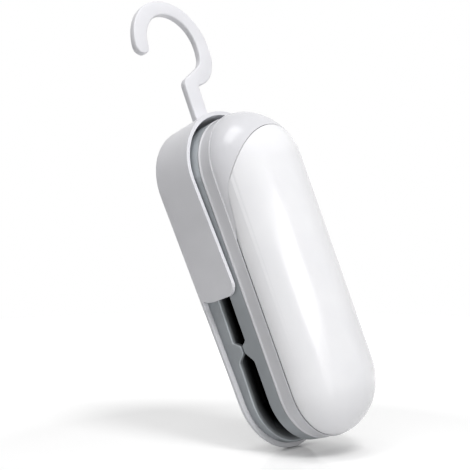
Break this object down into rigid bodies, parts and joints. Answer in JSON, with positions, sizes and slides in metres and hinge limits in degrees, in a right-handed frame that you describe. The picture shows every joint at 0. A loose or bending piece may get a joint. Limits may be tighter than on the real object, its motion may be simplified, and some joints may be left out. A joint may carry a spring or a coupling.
{
  "type": "mini bag sealer",
  "caption": "Hand-squeezed pill-shaped bag sealer: domed white battery door, grey hinged halves with a sealing slot, a white back with a guard wall and a hanging hook.",
  "frame": {"origin": "centre of the pill-shaped body on its flat back face", "axes": "+X along the body towards the hanging hook, +Z out of the back through the domed front, +Y to the side the hook's tip is on"},
  "size_m": [0.1486, 0.0402, 0.0375],
  "materials": {
    "white_shell": "satin white ABS",
    "white_door": "gloss white ABS",
    "grey_frame": "matt grey ABS",
    "steel": "bright drawn steel",
    "silicone": "matt silicone",
    "dark_tray": "matt black",
    "cell_jacket": "gloss shrink film",
    "heat_resin": "matt moulded resin",
    "heat_tape": "coated glass cloth",
    "brass": "bare brass",
    "board": "solder-masked board",
    "plunger_white": "natural nylon",
    "lead_red": "insulated wire",
    "lead_black": "insulated wire"
  },
  "bodies": {
    "base": {"rear_shell": "white_shell", "rear_frame": "grey_frame", "rear_screws": "steel", "sealing_pad": "silicone", "hinge_pin": "steel", "return_spring": "steel"},
    "lever": {"front_frame": "grey_frame", "front_shell": "white_shell", "front_screws": "steel", "battery_tray": "dark_tray", "battery_cell_1": "cell_jacket", "battery_cell_2": "cell_jacket", "contact_bridge": "steel", "contact_plus": "steel", "contact_minus": "steel", "battery_springs": "steel", "heater_carrier": "heat_resin", "heater_strip": "steel", "heater_cover": "heat_tape", "heater_terminals": "brass", "switch_board": "board", "tact_switch": "dark_tray", "heater_leads": "lead_red", "battery_leads": "lead_black"},
    "plunger": {"switch_plunger": "plunger_white"},
    "door": {"battery_door": "white_door"}
  },
  "joints": [
    {"name": "squeeze", "type": "hinge", "parent": "base", "child": "lever", "pos_m": [0.04363, 0, 0.00954], "axis": [0, -1, 0], "range_deg": [0, 0.56], "stiffness_Nm_per_rad": 2.5, "springref_deg": -5.73, "deforming": ["return_spring"]},
    {"name": "switch_press", "type": "slide", "parent": "lever", "child": "plunger", "axis": [-0.0277, 0, 0.9996], "range_m": [0, 0.0004]},
    {"name": "door_lift", "type": "slide", "parent": "lever", "child": "door", "axis": [-0.0277, 0, 0.9996], "range_m": [0, 0.022]}
  ],
  "couplings": [
    {"joint": "switch_press", "follows": "squeeze", "m_per_rad": 0.039}
  ]
}
